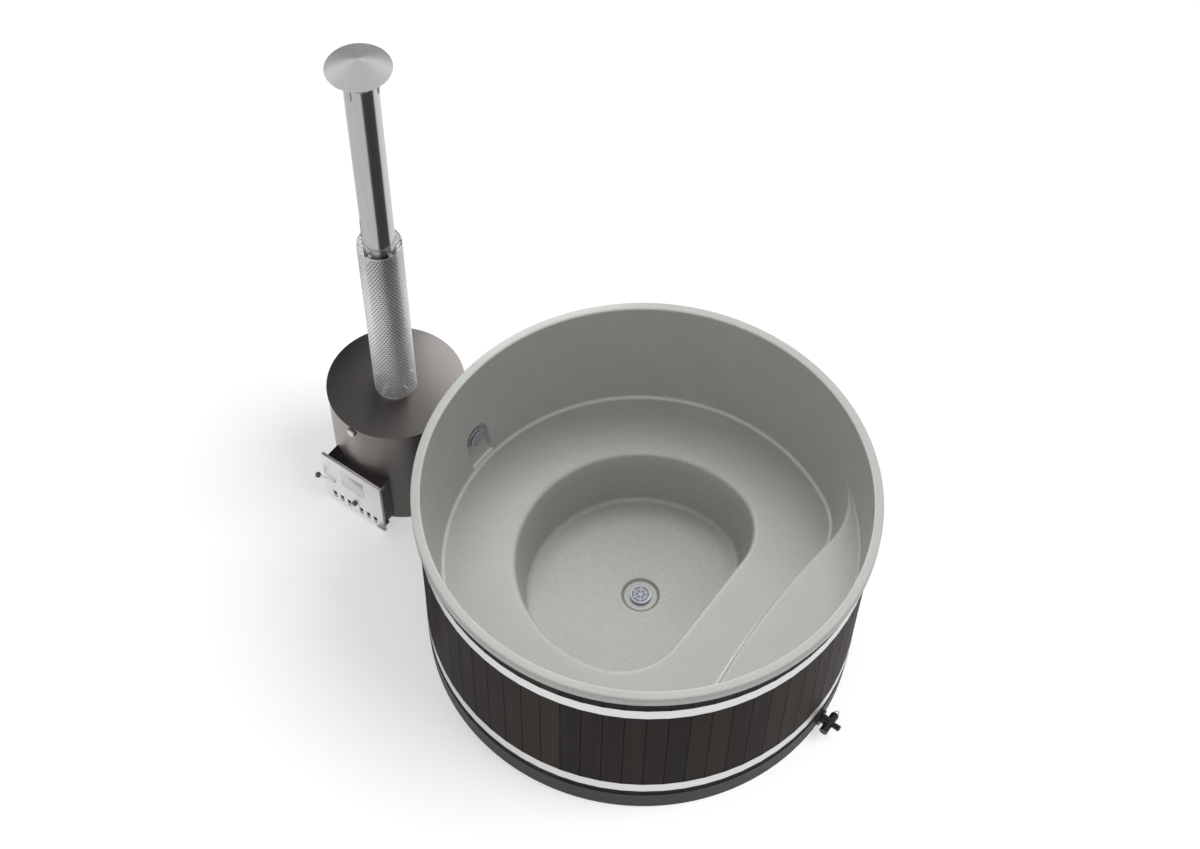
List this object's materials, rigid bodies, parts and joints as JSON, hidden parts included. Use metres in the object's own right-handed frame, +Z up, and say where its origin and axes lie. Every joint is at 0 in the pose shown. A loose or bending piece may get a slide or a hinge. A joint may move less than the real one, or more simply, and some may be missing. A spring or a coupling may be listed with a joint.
{
  "type": "wood-fired hot tub",
  "caption": "Round stave-clad hot tub with a moulded seat liner, an outside wood stove with an opening fire door, a capped chimney and a pull-type drain valve.",
  "frame": {"origin": "the tub's axis at ground level", "axes": "+Z up along the tub's axis, -X towards the stove, +X towards the drain valve, -Y towards the side that the fire door faces"},
  "size_m": [2.3929, 1.6996, 2.316],
  "materials": {
    "liner": "fine orange-peel moulded surface, light grey",
    "stave_wood": "dark brown stained boards with fine grain",
    "hoop_steel": "satin",
    "fastener_steel": "satin",
    "dark_fastener": "blackened",
    "base_plastic": "smooth satin, dark grey-brown",
    "bearer_wood": "sawn",
    "fitting_plastic": "moulded",
    "pipe_plastic": "extruded",
    "strainer_metal": "bluish satin",
    "rubber": "matte",
    "valve_gasket_rubber": "bluish matte",
    "valve_plastic": "satin black",
    "copper_wire": "bare wire",
    "stove_paint": "satin heat-proof paint, warm dark grey",
    "stove_steel": "bare fire-side steel",
    "grate_iron": "cast",
    "door_steel": "brushed stainless sheet",
    "seal_rope": "braided glass rope",
    "knob_plastic": "gloss black",
    "flue_steel": "polished stainless",
    "guard_steel": "perforated stainless sheet",
    "cap_steel": "spun stainless"
  },
  "bodies": {
    "tub": {"tub_liner": "liner", "staves": "stave_wood", "hoop_lower": "hoop_steel", "hoop_upper": "hoop_steel", "hoop_bolts": "fastener_steel", "base_ring": "base_plastic", "bearers": "bearer_wood", "strainer_bodies": "fitting_plastic", "strainer_covers": "strainer_metal", "strainer_gaskets": "rubber", "strainer_nuts": "fitting_plastic", "drain_tee": "fitting_plastic", "drain_pipe": "pipe_plastic", "return_pipe": "pipe_plastic", "stove_nipples": "fastener_steel", "hoses": "rubber", "hose_clamps": "fastener_steel", "valve_gasket": "valve_gasket_rubber", "valve_body": "valve_plastic", "valve_cap": "valve_plastic", "valve_gland": "valve_plastic", "valve_screws": "dark_fastener", "stove_shell": "stove_paint", "stove_top": "stove_paint", "stove_bottom": "stove_paint", "firebox": "stove_steel", "fire_neck": "stove_paint", "grate": "grate_iron", "vent_plug": "fastener_steel", "vent_washer": "rubber", "hinge_lugs": "stove_paint", "hinge_pins": "fastener_steel", "latch_keeper": "stove_steel", "flue_collar": "stove_steel", "lower_flue": "flue_steel", "upper_flue": "flue_steel", "chimney_guard": "guard_steel", "guard_clips": "guard_steel", "clip_screws": "dark_fastener", "rain_cap": "cap_steel", "cap_legs": "cap_steel"},
    "door": {"door_panel": "door_steel", "door_heat_shield": "stove_steel", "door_seal": "seal_rope", "slide_guides": "door_steel"},
    "latch": {"latch_lever": "fastener_steel", "latch_ball": "knob_plastic", "latch_tongue": "fastener_steel"},
    "air_slider": {"air_slide": "door_steel", "slide_knob": "knob_plastic"},
    "drain_spool": {"valve_spool": "valve_plastic"},
    "pull_ring": {"pull_ring": "copper_wire"}
  },
  "joints": [
    {"name": "door_swing", "type": "hinge", "parent": "tub", "child": "door", "pos_m": [-1.055, -0.306, 0.158], "axis": [0, 0, 1], "range_deg": [0, 100]},
    {"name": "latch_turn", "type": "hinge", "parent": "door", "child": "latch", "pos_m": [-1.301, -0.314, 0.155], "axis": [0, -1, 0], "range_deg": [0, 90]},
    {"name": "air_slide_travel", "type": "slide", "parent": "door", "child": "air_slider", "axis": [1, 0, 0], "range_m": [0, 0.0185]},
    {"name": "drain_pull", "type": "slide", "parent": "tub", "child": "drain_spool", "axis": [0, 1, 0], "range_m": [0, 0.02]},
    {"name": "pull_ring_swing", "type": "hinge", "parent": "drain_spool", "child": "pull_ring", "pos_m": [0.88, 0.045, 0.07], "axis": [1, 0, 0], "range_deg": [-80, 80]}
  ]
}
